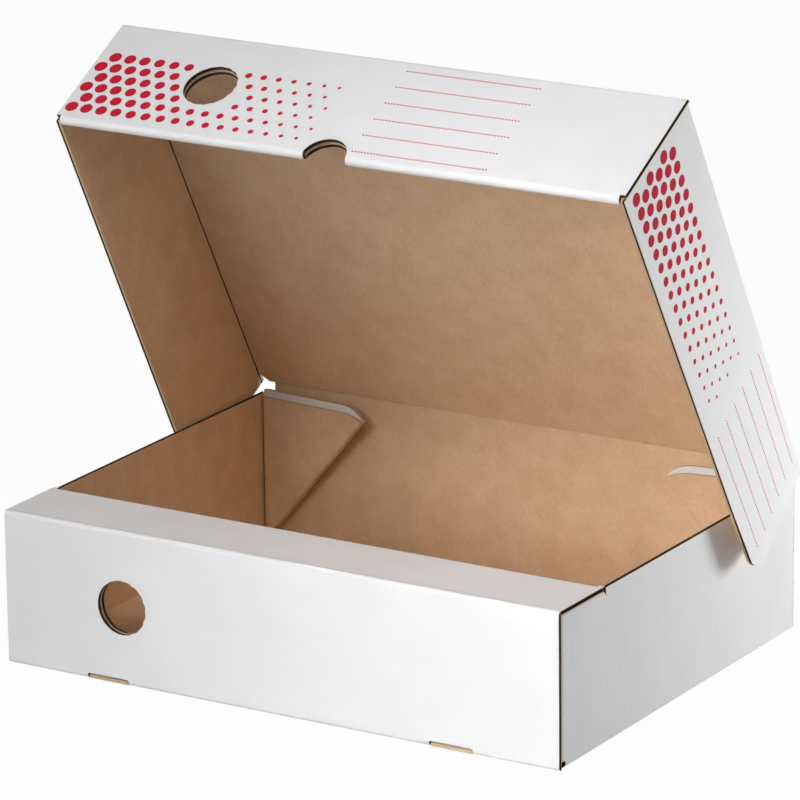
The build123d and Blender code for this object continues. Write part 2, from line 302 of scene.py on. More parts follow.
def make_medium_tree():
    """The tree for a closed sheet of medium: X across the flutes, Y along them, Z through the board."""
    tree = bpy.data.node_groups.new("fluted_medium", "GeometryNodeTree")
    for name in ("Across", "Along", "Pitch", "Height", "Paper"):
        tree.interface.new_socket(name, in_out="INPUT", socket_type="NodeSocketFloat")
    tree.interface.new_socket("Rows", in_out="INPUT", socket_type="NodeSocketInt")
    tree.interface.new_socket("Material", in_out="INPUT", socket_type="NodeSocketMaterial")
    tree.interface.new_socket("Geometry", in_out="OUTPUT", socket_type="NodeSocketGeometry")
    given = add(tree, "NodeGroupInput").outputs
    flutes = add(tree, "ShaderNodeMath", {
        0: given["Across"], 1: given["Pitch"]}, operation="DIVIDE").outputs[0]
    columns = add(tree, "ShaderNodeMath", {0: flutes, 1: STEPS_PER_FLUTE}, operation="MULTIPLY").outputs[0]
    grid = add(tree, "GeometryNodeMeshGrid", {
        "Size X": given["Across"], "Size Y": given["Along"],
        "Vertices X": columns, "Vertices Y": given["Rows"]})
    place = add(tree, "GeometryNodeInputPosition").outputs[0]
    across = add(tree, "ShaderNodeSeparateXYZ", {0: place}).outputs["X"]
    turns = add(tree, "ShaderNodeMath", {0: across, 1: given["Pitch"]}, operation="DIVIDE").outputs[0]
    phase = add(tree, "ShaderNodeMath", {0: turns, 1: math.tau}, operation="MULTIPLY").outputs[0]
    wave = add(tree, "ShaderNodeMath", {0: phase}, operation="SINE").outputs[0]
    swing = add(tree, "ShaderNodeMath", {
        0: given["Height"], 1: given["Paper"]}, operation="SUBTRACT").outputs[0]
    half = add(tree, "ShaderNodeMath", {0: swing, 1: 2.0}, operation="DIVIDE").outputs[0]
    sunk = add(tree, "ShaderNodeMath", {0: given["Paper"], 1: -2.0}, operation="DIVIDE").outputs[0]
    lift = add(tree, "ShaderNodeMath", {0: wave, 1: half, 2: sunk}, operation="MULTIPLY_ADD").outputs[0]
    offset = add(tree, "ShaderNodeCombineXYZ", {"Z": lift}).outputs[0]
    under = add(tree, "GeometryNodeSetPosition", {
        "Geometry": grid.outputs["Mesh"], "Offset": offset}).outputs[0]
    over = add(tree, "GeometryNodeExtrudeMesh", {
        "Mesh": under, "Offset": (0, 0, 1), "Offset Scale": given["Paper"], "Individual": False}).outputs[0]
    back = add(tree, "GeometryNodeFlipFaces", {"Mesh": under}).outputs[0]
    both = add(tree, "GeometryNodeJoinGeometry", {"Geometry": [over, back]}).outputs[0]
    closed = add(tree, "GeometryNodeMergeByDistance", {"Geometry": both, "Distance": MERGE}).outputs[0]
    real = add(tree, "GeometryNodeRealizeInstances", {"Geometry": closed}).outputs[0]
    dressed = add(tree, "GeometryNodeSetMaterial", {
        "Geometry": real, "Material": given["Material"]}).outputs[0]
    add(tree, "NodeGroupOutput", {"Geometry": dressed})
    return tree


MEDIUM_TREE = make_medium_tree()
print("tree", MEDIUM_TREE.name, "with", len(MEDIUM_TREE.nodes), "nodes")

# %% [markdown]
# A tree works as a modifier on an object. The sheet still has to be bent and cut, so the tree is put on a
# blank object, its inputs are filled in, and the finished mesh is taken from it.

# %% A mesh from a tree
def grown(tree, values):
    """The plain mesh that a Geometry Nodes tree makes from its named inputs."""
    blank = link(tree.name, bpy.data.meshes.new(tree.name))
    modifier = blank.modifiers.new(tree.name, "NODES")
    modifier.node_group = tree
    for socket in tree.interface.items_tree:
        if socket.in_out == "INPUT":
            modifier[socket.identifier] = values[socket.name]
    return settled(blank)


def medium_sheet(across, along, height, rows):
    """A flat piece of the medium on its own axes."""
    return grown(MEDIUM_TREE, {
        "Across": across, "Along": along, "Pitch": FLUTE_PITCH, "Height": height, "Paper": MEDIUM_PAPER,
        "Rows": rows, "Material": MATERIALS["fluting_medium_and_painted_shade"]})


# %% [markdown]
# ## From a solid to a board
# A CAD panel already has the right outline, holes and rounded folds. So its own faces become the liners:
# those on the white side and those on the brown side are cut free and thickened inwards, and the faces of
# the cut edges are dropped. The medium is trimmed by the same solid with a Boolean, and it shows wherever
# the knife went.

# %% Liners from the faces of a panel
WELD = 0.002 * MM
# Cosines that say how squarely a face looks along a direction.
TOWARDS, STEEP, SQUARE_ON = 0.05, 0.5, 0.9
AXES = {"X": Vector((1, 0, 0)), "Y": Vector((0, 1, 0)), "Z": Vector((0, 0, 1))}


def welded(node):
    """A copy of a CAD node's mesh with its doubles merged."""
    made = bmesh.new()
    made.from_mesh(frame["nodes"][node].data)
    bmesh.ops.remove_doubles(made, verts=made.verts, dist=WELD)
    return made


def liner(node, chosen, index, depth):
    """The chosen faces of a panel as a paper of their own, thickened into the board."""
    made = welded(node)
    back = turned[body_of[node]].inverted()
    spin = back.to_3x3()
    others = [f for f in made.faces if not chosen(back @ f.calc_center_median(), spin @ f.normal)]
    bmesh.ops.delete(made, geom=others, context="FACES")
    for face in made.faces:
        face.material_index = index
    mesh = as_mesh(made, "liner")
    for slot in SLOTS:
        mesh.materials.append(MATERIALS[slot])
    thing = link("liner", mesh)
    solid = thing.modifiers.new("paper", "SOLIDIFY")
    solid.thickness = depth
    solid.offset = -1
    solid.use_even_offset = True
    # The back of each liner takes the medium's dark colour: painted shade inside the tunnels.
    solid.material_offset = FLUTE_AND_PAINTED_SHADE - index
    solid.material_offset_rim = EDGE - index
    mesh = settled(thing)
    # At a slanting edge the thickened rim leans past the panel, so each point is held inside the panel's box.
    low, high = square_box(node)
    for vertex in mesh.vertices:
        own = back @ vertex.co
        kept = [min(max(value, a), b) for value, a, b in zip(own, low, high)]
        vertex.co = turned[body_of[node]] @ Vector(kept)
    return mesh


def trimmed(mesh, node):
    """A mesh cut to the outline of a CAD panel."""
    cutter = link("cutter", as_mesh(welded(node), "cutter"))
    thing = link("trimmed", mesh)
    knife = thing.modifiers.new("knife", "BOOLEAN")
    knife.operation = "INTERSECT"
    knife.solver = "EXACT"
    knife.object = cutter
    mesh = settled(thing)
    bpy.data.objects.remove(cutter)
    return mesh


# %% [markdown]
# The medium is laid out on the square panel, bent if the panel is bent, turned into place and cut to the
# panel's outline. Where no fold stops it, it overruns the panel first, so that the cut is clean. In a
# rolled fold it is crushed flat, so there it is a plain half ring.

# %% Medium inside a panel
STRAIGHT_ROWS, BENT_ROWS = 2, 9
ROLL_FACETS = 16
OVERRUN = 1.0 * MM
NO_INSET = -OVERRUN


def third_axis(flutes, across):
    """The axis through the board, which is neither along the flutes nor across them."""
    return "XYZ".replace(flutes, "").replace(across, "")


def medium(node, flutes, across, insets, bend):
    """The wavy paper inside a panel; insets are what the folds take from it along each axis."""
    low, high = square_box(node)
    through = AXES[across].cross(AXES[flutes])
    spans = {}
    for i, axis in enumerate("XYZ"):
        start, end = insets.get(axis, (NO_INSET, NO_INSET))
        spans[axis] = (low[i] + start, high[i] - end)
    sizes = {axis: b - a for axis, (a, b) in spans.items()}
    middle = Vector([sum(spans[axis]) / 2 for axis in "XYZ"])
    rows = BENT_ROWS if bend else STRAIGHT_ROWS
    height = min(board, sizes[third_axis(flutes, across)]) - 2 * LINER
    mesh = medium_sheet(sizes[across], sizes[flutes], height, rows)
    place = Matrix((AXES[across], AXES[flutes], through)).transposed().to_4x4()
    mesh.transform(Matrix.Translation(middle) @ place)
    if bend:
        for vertex in mesh.vertices:
            vertex.co = bend(vertex.co)
    mesh.transform(turned[body_of[node]])
    return trimmed(mesh, node)


def rolled_medium(node, axis, way):
    """The crushed medium inside a rolled fold: a half ring about the roll's axis, bulging one way."""
    reach = max(abs(vertex.co.x) for vertex in frame["nodes"][node].data.vertices)
    side = AXES["X"].cross(way)
    inner, outer = roll_radius - board + LINER, roll_radius - LINER
    outlines = []
    for facet in range(ROLL_FACETS + 1):
        angle = math.pi * (facet / ROLL_FACETS - 0.5)
        out = math.cos(angle) * way + math.sin(angle) * side
        spots = [axis + radius * out + end * AXES["X"] for end, radius in (
            (-reach, inner), (-reach, outer), (reach, outer), (reach, inner))]
        outlines.append([turned[body_of[node]] @ spot for spot in spots])
    return trimmed(as_mesh(skin(outlines), "roll"), node)


# %% [markdown]
# Liners and medium are joined into one object. Its points keep the panel's own coordinates for the
# patterns, it rides on the panel's body, and it takes the place of the CAD panel. Some panels are pressed
# so hard between their neighbours that no tunnel stays open.

# %% One object from the papers of a panel
PRESSED_SHARE = 0.49
SHARP_ANGLE = math.radians(35)
boards_made = []


def finish_piece(made, name, node, flutes, across, materials=SLOTS):
    """One object from a mesh on a panel, with the panel's own coordinates as an attribute."""
    mesh = as_mesh(made, name)
    for material in materials:
        mesh.materials.append(MATERIALS[material])
    mesh.set_sharp_from_angle(angle=SHARP_ANGLE)
    mesh.polygons.foreach_set("use_smooth", [True] * len(mesh.polygons))
    back = turned[body_of[node]].inverted()
    order = ["XYZ".index(axis) for axis in (flutes, across, third_axis(flutes, across))]
    attribute = mesh.attributes.new("board_place", "FLOAT_VECTOR", "POINT")
    places = []
    for vertex in mesh.vertices:
        own = back @ vertex.co
        places.extend(own[i] for i in order)
    attribute.data.foreach_set("vector", places)
    thing = link(name, mesh)
    weighted = thing.modifiers.new("flat faces", "WEIGHTED_NORMAL")
    weighted.keep_sharp = True
    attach(thing, body_of[node])
    return thing


def make_board(node, white, flutes, across, *sheets,
               is_white=None, is_kraft=None, bend=None, roll=None, crush=0):
    """A panel as a sandwich: white is the direction that its white side faces.

    Each sheet of medium is given by its insets. A panel with none is pressed shut, so its liners meet.
    Crush is how much of the medium is flattened onto the brown liner.
    """
    white_test = is_white or (lambda at, normal: normal.dot(white) > TOWARDS)
    kraft_test = is_kraft or (lambda at, normal: normal.dot(white) < -STEEP)
    low, high = square_box(node)
    depth = LINER if sheets else PRESSED_SHARE * min(high - low)
    made = bmesh.new()
    made.from_mesh(liner(node, white_test, WHITE, depth))
    made.from_mesh(liner(node, kraft_test, KRAFT, depth + crush))
    fillings = [medium(node, flutes, across, insets, bend) for insets in sheets]
    if roll:
        fillings.append(rolled_medium(node, *roll))
    for filling in fillings:
        filling.polygons.foreach_set("material_index", [FLUTE_AND_PAINTED_SHADE] * len(filling.polygons))
        made.from_mesh(filling)
    thing = finish_piece(made, node + "_board", node, flutes, across)
    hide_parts(node)
    boards_made.append(thing.name)


# %% [markdown]
# ## Tray
# The front rolls over: up the front wall, back along the rail, round a soft half turn, and down again
# inside. A fold crushes the flutes, so the medium stops short of every fold.

# %% Which faces of the tray are white
UP, DOWN = AXES["Z"], -AXES["Z"]
FRONT, BACK = -AXES["Y"], AXES["Y"]
RIGHT, LEFT = AXES["X"], -AXES["X"]
rail_axis = Vector((0, rail_high.y - roll_radius, rail_high.z - roll_radius))


def outer_or_edge(white, node, *edges):
    """White side of a panel, with the narrow flat strips that its folds leave on the given sides."""
    low, high = square_box(node)

    def test(at, normal):
        if normal.dot(white) > TOWARDS:
            return True
        for side in edges:
            reach = max(low.dot(side), high.dot(side))
            if normal.dot(side) > SQUARE_ON and at.dot(side) > reach - WELD:
                return True
        return False

    return test


def in_rail_roll(at):
    """Whether a point lies in the half turn behind the rail."""
    return at.y > rail_axis.y and abs(at.x) < rail_high.x - board


def rail_is_white(at, normal):
    """The top of the rail and the outside of its roll."""
    if in_rail_roll(at) and abs(normal.x) < STEEP:
        return (Vector((0, at.y, at.z)) - rail_axis).length > roll_radius / 2
    return normal.z > TOWARDS


def rail_is_kraft(at, normal):
    """The underside of the rail and the inside of its roll."""
    if in_rail_roll(at):
        return abs(normal.x) < STEEP and (Vector((0, at.y, at.z)) - rail_axis).length < roll_radius / 2
    return normal.z < -STEEP


def back_is_kraft(at, normal):
    """The inside of the back wall, up over the bead of the lid's crease."""
    on_bead = at.z > hinge_at.z and abs(normal.x) < STEEP and normal.y <= TOWARDS
    return on_bead or normal.y < -STEEP


print("axis of the rail's roll", [round(v / MM, 1) for v in rail_axis], "mm")

# %% [markdown]
# With these tests every panel of the tray is one call. The letters are the direction of the flutes and
# the direction across them, and the numbers are what the folds take from the medium.

# %% Tray panels
make_board("bottom_panel", DOWN, "X", "Y", {})
make_board("front_wall", FRONT, "X", "Z", {"Z": (board, board)},
           is_white=outer_or_edge(FRONT, "front_wall", UP, DOWN))
make_board("front_rail_top", UP, "X", "Y", {"Y": (0, roll_radius), "Z": (roll_depth - board, 0)},
           is_white=rail_is_white, is_kraft=rail_is_kraft, roll=(rail_axis, BACK))
make_board("front_rail_under", DOWN, "X", "Y", {})
make_board("front_wall_liner", BACK, "X", "Z", {"Z": (board, board)})
for side, out in (("left", LEFT), ("right", RIGHT)):
    wall = side + "_wall"
    wall_low, wall_high = square_box(wall)
    fold_top = wall_high.z - rail_high.z + 2 * board
    slit_at = rail_high.y + OVERRUN
    below_rail = {"Z": (board, fold_top), "Y": (board, wall_high.y - slit_at)}
    behind_slit = {"Z": (board, NO_INSET), "Y": (slit_at - wall_low.y, NO_INSET)}
    make_board(wall, out, "Z", "Y", below_rail, behind_slit)
    make_board(side + "_front_ear", FRONT, "Z", "X")
    make_board(side + "_dust_flap", UP, "X", "Y")
make_board("back_wall", BACK, "X", "Z", {"Z": (board, board)}, is_kraft=back_is_kraft)
print("tray boards", len(boards_made))

# %% [markdown]
# ## Corner webs
# Each web is folded double, white inside the fold. The leaf in front shows its brown side, and the leaf
# behind stands a little higher, so a white strip shows above the front leaf. The webs are pressed almost
# shut, so they show no flutes along their edges.

# %% Web leaves
for side in ("left", "right"):
    make_board(side + "_web_front_leaf", BACK, "Z", "X")
    make_board(side + "_web_rear_leaf", FRONT, "X", "Z")
print("web boards", boards_made[-4:])

# %% [markdown]
# ## Lid
# The lid's front rolls under like the tray's front. Below the axis of that roll a face is told by its
# distance from the axis, and above it by the way that it looks.

# %% Which faces of the lid are white
# The share of the board's thickness by which a point on the roll may miss the roll's radius.
ROLL_PLAY = 0.1
lid_axis = Vector((0, lid_front_low.y + roll_radius, lid_front_low.z + roll_radius))


def from_lid_axis(at):
    """Distance of a point from the axis of the lid's roll."""
    return (Vector((0, at.y, at.z)) - lid_axis).length


def lid_front_is_white(at, normal):
    """The front of the lid, the outside of its roll and the strip at its upper fold."""
    if at.z < lid_axis.z:
        return abs(normal.x) < STEEP and abs(from_lid_axis(at) - roll_radius) < ROLL_PLAY * board
    return normal.y < -TOWARDS or (normal.z > SQUARE_ON and at.z > lid_front_high.z - WELD)


def lid_front_is_kraft(at, normal):
    """The back of the lid's front ply and the inside of its roll."""
    if at.z < lid_axis.z:
        return abs(normal.x) < STEEP and from_lid_axis(at) < roll_radius / 2
    return normal.y > STEEP


def flap_is_white(out):
    """White side of a side flap, without the downward faces of its cut edge."""
    return lambda at, normal: normal.dot(out) > TOWARDS and normal.z > -STEEP


print("axis of the lid's roll", [round(v / MM, 1) for v in lid_axis], "mm")

# %% [markdown]
# The side flaps spring outwards towards the hinge, so their medium is bent with them: a point is moved
# from its place on the square flap to that on the flared one. The CAD flap is made of flat facets, so
# rays along X then find its two faces, and the point keeps its depth between them.

# %% Flare of the side flaps
def flare_of(node):
    """Angle by which a side flap's rear edge leans out, from its own mesh."""
    points = square_points(node)
    rear = max(p.y for p in points)
    edge = [p for p in points if p.y > rear - WELD]
    top = max(p.z for p in edge)
    low = min(p.z for p in edge)
    inner_top = min(abs(p.x) for p in edge if p.z > top - board)
    inner_low = min(abs(p.x) for p in edge if p.z < low + board)
    return math.atan2(inner_low - inner_top, top - low)


def flap_bend(node, sign):
    """The move from a square flap to the flared one; sign is 1 for the right flap and -1 for the left."""
    low, high = square_box(node)
    flare = flare_of(node)
    corner_x = lid_top_high.x
    square = welded(node)
    square.transform(turned["lid"].inverted())
    faces = BVHTree.FromBMesh(square)
    square.free()

    def flared(share, beyond, drop):
        out = beyond * math.cos(flare) + drop * math.sin(flare)
        down = drop * math.cos(flare) - beyond * math.sin(flare)
        return corner_x + beyond + share * (out - beyond), lid_top_high.z - drop - share * (down - drop)

    def bend(point):
        share = (point.y - low.y) / (high.y - low.y)
        beyond = abs(point.x) - corner_x
        x, z = flared(share, beyond, lid_top_high.z - point.z)
        outer = faces.ray_cast(Vector((2 * sign * corner_x, point.y, z)), -sign * RIGHT)[0]
        inner = faces.ray_cast(Vector((0, point.y, z)), sign * RIGHT)[0]
        if outer and inner:
            x = abs(inner.x) + beyond / board * (abs(outer.x) - abs(inner.x))
        return Vector((sign * x, point.y, z))

    return bend


for flap in ("lid_left_flap", "lid_right_flap"):
    print(flap, "leans out", round(math.degrees(flare_of(flap)), 1), "degrees")

# %% [markdown]
# The edges of the side flaps show a thicker brown ply and a narrower gap than the other edges do, as if the
# cut had flattened part of the medium onto the brown liner. So these two panels get a crushed share.

# %% Lid panels
FLAP_CRUSH = 0.9 * MM
make_board("lid_top", UP, "X", "Y", {})
make_board("lid_front_flap", FRONT, "X", "Z", {"Z": (roll_depth, board), "Y": (0, roll_depth - board)},
           is_white=lid_front_is_white, is_kraft=lid_front_is_kraft, roll=(lid_axis, DOWN))
make_board("lid_front_liner", BACK, "X", "Z", {})
for side, sign, out in (("left", -1, LEFT), ("right", 1, RIGHT)):
    flap = f"lid_{side}_flap"
    low, high = square_box(flap)
    flare_room = high.x - low.x - board
    room = (FLAP_CRUSH, flare_room) if sign > 0 else (flare_room, FLAP_CRUSH)
    make_board(flap, out, "Z", "Y", {"Z": (NO_INSET, board), "X": room},
               is_white=flap_is_white(out), bend=flap_bend(flap, sign), crush=FLAP_CRUSH)
    make_board(f"lid_{side}_ear", FRONT, "Z", "X")
print("boards", len(boards_made))

# %% [markdown]
# ## Finger-hole rims
# The finger holes are knocked out along a toothed rule, which leaves a scalloped rim in the white liner.
# Moving the points of the liner itself would disturb its flat face, so each rim is a thin ring of its
# own, just under the liner's surface. Its inner edge is a row of arcs with small cusps between them,
# uneven as torn board is, and smooth on the side where the knife went through.

# %% Scalloped rims
SCALLOPS = 17
SCALLOP_DEPTH = 0.8 * MM
SCALLOP_WANDER = 2.4
SCALLOP_UNEVEN = 0.3
RIM_HOLD = 0.5 * MM
RIM_SINK = 0.02 * MM
STEPS_PER_SCALLOP = 10
RIM_STEPS = STEPS_PER_SCALLOP * SCALLOPS
opening_box = {hole["name"]: hole["box_m"] for hole in frame["record"]["physics"]["openings"]}


def opening_centre(name, node):
    """The middle of an opening in the square place of the panel that it goes through."""
    low, high = opening_box[name]
    return turned[body_of[node]].inverted() @ ((Vector(low) + Vector(high)) / 2)


def make_rim(name, node, opening):
    """A scalloped ring in a panel's finger hole, as wide as the hole in the panel's own mesh."""
    centre = opening_centre(opening, node)
    centre.y = square_box(node)[0].y
    radius = min((Vector((p.x, centre.y, p.z)) - centre).length for p in square_points(node))
    hold = radius + RIM_HOLD
    outlines = []
    for step in range(RIM_STEPS):
        angle = math.tau * step / RIM_STEPS
        arch = abs(math.sin(SCALLOPS * angle / 2))
        sway = math.sin(SCALLOP_WANDER * angle * SCALLOPS / math.tau)
        uneven = 1 - SCALLOP_UNEVEN + SCALLOP_UNEVEN * sway
        torn_side = (1 + math.cos(angle)) / 2
        inner = radius - SCALLOP_DEPTH * uneven * torn_side * (1 - arch)
        way = Vector((math.cos(angle), 0, math.sin(angle)))
        corners = ((inner, RIM_SINK), (hold, RIM_SINK), (hold, LINER), (inner, LINER))
        spots = [centre + reach * way + sink * BACK for reach, sink in corners]
        outlines.append([turned[body_of[node]] @ spot for spot in spots])
    made = skin(outlines, ring=True)
    # The first face of each band is the one that shows in front.
    for i, face in enumerate(made.faces):
        face.material_index = WHITE if i % len(outlines[0]) == 0 else EDGE
    print(name, "radius", round(radius / MM, 2), "mm")
    finish_piece(made, name, node, "X", "Z")


make_rim("front_hole_rim", "front_wall", "base_finger_hole")
make_rim("lid_hole_rim", "lid_front_flap", "lid_finger_hole")

# %% [markdown]
# ## Lock tabs and painted crease shadows
# Two tabs of the inner front ply push through the slots in the front's lower fold and lock the tray. Only
# their ends show, a little behind the white face, so each is a short bar with a rounded upper edge. Along
# the inside of each crease of the lid's side flaps the shade in the corner is painted: a slim three-sided
# strip of the dark medium colour in the corner gives each dark line.

# %% Lock tabs and painted crease shadows
TAB_HALF_WIDTH = 12.6 * MM
TAB_OFFSET = 108.0 * MM
TAB_SINK = 0.9 * MM
TAB_HEIGHT = 2.2 * MM
TAB_ROUND = 0.6 * MM
TAB_ARC_STEPS = 4
# Width of the painted shadow strip in each crease corner of the lid.
CREASE_SHADOW = 0.5 * MM
FLOOR_GAP = 0.05 * MM


def bar(name, node, profile, ends, material):
    """A bar along one axis from a closed outline at each of its two ends."""
    made = skin([[turned[body_of[node]] @ (spot + end) for spot in profile] for end in ends])
    for face in made.faces:
        face.material_index = material
    finish_piece(made, name, node, "X", "Z")


ply_low = square_box("front_wall_liner")[0]
tab_front = square_box("front_wall")[0].y + TAB_SINK
tab_outline = [Vector((0, ply_low.y, FLOOR_GAP)), Vector((0, tab_front, FLOOR_GAP))]
for step in range(TAB_ARC_STEPS + 1):
    angle = math.pi / 2 * step / TAB_ARC_STEPS
    round_y = tab_front + TAB_ROUND * (1 - math.cos(angle))
    tab_outline.append(Vector((0, round_y, TAB_HEIGHT - TAB_ROUND * (1 - math.sin(angle)))))
tab_outline.append(Vector((0, ply_low.y, TAB_HEIGHT)))
for side, sign in (("left", -1), ("right", 1)):
    tab_ends = [(sign * TAB_OFFSET + end * TAB_HALF_WIDTH) * RIGHT for end in (-1, 1)]
    bar(side + "_lock_tab", "front_wall_liner", tab_outline, tab_ends, EDGE)
    flap_low, flap_high = square_box(f"lid_{side}_flap")
    inside = Vector((sign * lid_top_high.x, 0, lid_top_low.z))
    crease_shadow_outline = [inside, inside - sign * CREASE_SHADOW * RIGHT, inside + CREASE_SHADOW * DOWN]
    crease_shadow_ends = [y * BACK for y in (flap_low.y + 2 * board, flap_high.y)]
    # A thin strip of the dark medium colour in the inner corner: painted shade where each side flap's crease meets
    # the lid's top.
    bar(f"lid_{side}_painted_crease_shadow", f"lid_{side}_flap", crease_shadow_outline, crease_shadow_ends, FLUTE_AND_PAINTED_SHADE)
    print(side, "lock tab and crease")

# %% [markdown]
# ## Diagonal folds of the webs
# Along its slanting edge each web is not cut but folded, and the brown liner runs round from one leaf to
# the other. A low half-round bead on both leaves' edges closes the fold.

# %% Web folds
FOLD_BULGE = 1.1 * MM
FOLD_FACETS = 8
# The share of the fold's length that stays without a bead, at its foot.
FOLD_START = 0.06


def make_web_fold(side, sign):
    """A half-round bead from the foot to the tip of a web's slanting edge."""
    node = side + "_web_front_leaf"
    low, high = square_box(node)
    points = square_points(node)
    tip_x = min(sign * p.x for p in points)
    tip = max((p for p in points if sign * p.x < tip_x + WELD), key=lambda p: p.z)
    foot = min((p for p in points if p.z < low.z + WELD), key=lambda p: sign * p.x)
    tip, foot = Vector((tip.x, high.y, tip.z)), Vector((foot.x, high.y, foot.z))
    slant = (tip - foot).normalized()
    outward = slant.cross(BACK)
    if sign * outward.x > 0:
        outward = -outward
    outlines = []
    for end in (foot.lerp(tip, FOLD_START), tip):
        outline = []
        for facet in range(FOLD_FACETS + 1):
            angle = math.pi * (facet / FOLD_FACETS - 0.5)
            spot = end + board * math.sin(angle) * BACK + FOLD_BULGE * math.cos(angle) * outward
            outline.append(turned[body_of[node]] @ spot)
        outlines.append(outline)
    made = skin(outlines)
    for face in made.faces:
        face.material_index = KRAFT
    return finish_piece(made, side + "_web_fold", node, "Z", "X")


for side, sign in (("left", -1), ("right", 1)):
    print(make_web_fold(side, sign).name)

# %% [markdown]
# ## Red print
# The lid's front and its right flap carry dotted lines to write on and a plain field of round dots that
# shrink along each row. A picture on the liner would blur when it is looked at closely, so each dot is a
# very thin film of ink. One Geometry Nodes tree lays out rows of dots, and its inputs make both the lines
# and the fields.

# %% Geometry Nodes tree of the dots
def make_dots_tree():
    """The tree for rows of thin round dots on a sheet: X along a row, Y from row to row."""
    tree = bpy.data.node_groups.new("printed_dots", "GeometryNodeTree")
    kinds = {
        "Int": ("Columns", "Rows", "Sides"),
        "Float": ("Column Step", "Row Step", "Stagger", "First Radius", "Last Radius", "Hole Radius", "Film"),
        "Vector": ("Hole Centre",),
        "Material": ("Material",),
    }
    for kind, names in kinds.items():
        for name in names:
            tree.interface.new_socket(name, in_out="INPUT", socket_type="NodeSocket" + kind)
    tree.interface.new_socket("Geometry", in_out="OUTPUT", socket_type="NodeSocketGeometry")
    given = add(tree, "NodeGroupInput").outputs
    count = add(tree, "ShaderNodeMath", {
        0: given["Columns"], 1: given["Rows"]}, operation="MULTIPLY").outputs[0]
    index = add(tree, "GeometryNodeInputIndex").outputs[0]
    turn = add(tree, "ShaderNodeMath", {0: index, 1: given["Rows"]}, operation="DIVIDE").outputs[0]
    column = add(tree, "ShaderNodeMath", {0: turn}, operation="FLOOR").outputs[0]
    row = add(tree, "ShaderNodeMath", {0: index, 1: given["Rows"]}, operation="MODULO").outputs[0]
    odd = add(tree, "ShaderNodeMath", {0: row, 1: 2.0}, operation="MODULO").outputs[0]
    shifted = add(tree, "ShaderNodeMath", {
        0: odd, 1: given["Stagger"], 2: column}, operation="MULTIPLY_ADD").outputs[0]
    x = add(tree, "ShaderNodeMath", {0: shifted, 1: given["Column Step"]}, operation="MULTIPLY").outputs[0]
    y = add(tree, "ShaderNodeMath", {0: row, 1: given["Row Step"]}, operation="MULTIPLY").outputs[0]
    spot = add(tree, "ShaderNodeCombineXYZ", {"X": x, "Y": y}).outputs[0]
    radius = add(tree, "ShaderNodeMapRange", {
        "Value": shifted, "From Min": 0.0, "From Max": given["Columns"],
        "To Min": given["First Radius"], "To Max": given["Last Radius"]}).outputs[0]
    points = add(tree, "GeometryNodePoints", {"Count": count, "Position": spot, "Radius": radius}).outputs[0]
    here = add(tree, "GeometryNodeInputPosition").outputs[0]
    own = add(tree, "GeometryNodeInputRadius").outputs[0]
    away = add(tree, "ShaderNodeVectorMath", {
        0: here, 1: given["Hole Centre"]}, operation="DISTANCE").outputs["Value"]
    reach = add(tree, "ShaderNodeMath", {0: own, 1: given["Hole Radius"]}, operation="ADD").outputs[0]
    inside = add(tree, "ShaderNodeMath", {0: away, 1: reach}, operation="LESS_THAN").outputs[0]
    kept = add(tree, "GeometryNodeDeleteGeometry", {"Geometry": points, "Selection": inside}).outputs[0]
    disc = add(tree, "GeometryNodeMeshCylinder", {
        "Vertices": given["Sides"], "Radius": 1.0, "Depth": given["Film"]}).outputs["Mesh"]
    size = add(tree, "ShaderNodeCombineXYZ", {"X": own, "Y": own, "Z": 1.0}).outputs[0]
    dots = add(tree, "GeometryNodeInstanceOnPoints", {
        "Points": kept, "Instance": disc, "Scale": size}).outputs[0]
    real = add(tree, "GeometryNodeRealizeInstances", {"Geometry": dots}).outputs[0]
    dressed = add(tree, "GeometryNodeSetMaterial", {
        "Geometry": real, "Material": given["Material"]}).outputs[0]
    add(tree, "NodeGroupOutput", {"Geometry": dressed})
    return tree


DOTS_TREE = make_dots_tree()
print("tree", DOTS_TREE.name, "with", len(DOTS_TREE.nodes), "nodes")

# %% [markdown]
# The tree draws on a flat sheet, so two matrices lay that sheet on the lid: one on its front and one on
# the square place of the right flap, from where the same bend as before carries the dots out to the
# flared flap.

# %% Print on the lid
FILM = 0.06 * MM
FIELD_STEP = 9.6 * MM
FIELD = {
    "Columns": 16, "Rows": 6, "Sides": 24,
    "Column Step": FIELD_STEP, "Row Step": FIELD_STEP * math.sqrt(3) / 2, "Stagger": 0.5,
    "First Radius": 3.8 * MM, "Last Radius": 0.9 * MM}
LINES = {
    "Columns": 44, "Rows": 6, "Sides": 8, "Column Step": 1.9 * MM, "Row Step": 12.9 * MM,
    "Stagger": 0.0, "First Radius": 0.58 * MM, "Last Radius": 0.58 * MM}
FIELD_LOW = 69.0 * MM
LINES_LOW = 72.6 * MM
FRONT_FIELD_START, FRONT_LINES_START = -171.0 * MM, 10.0 * MM
FLAP_FIELD_START, FLAP_LINES_START = -262.0 * MM, -94.0 * MM
HOLE_MARGIN = 17.0 * MM
# A negative margin leaves out no dot.
NO_HOLE = -1.0
hole_at = opening_centre("lid_finger_hole", "lid_front_flap")
front_sheet = Matrix.Translation((0, lid_front_low.y, lid_top_high.z)) @ Matrix(
    (RIGHT, UP, FRONT)).transposed().to_4x4()
flap_sheet = Matrix.Translation((lid_top_high.x + board, hinge_at.y, lid_top_high.z)) @ Matrix(
    (BACK, UP, RIGHT)).transposed().to_4x4()


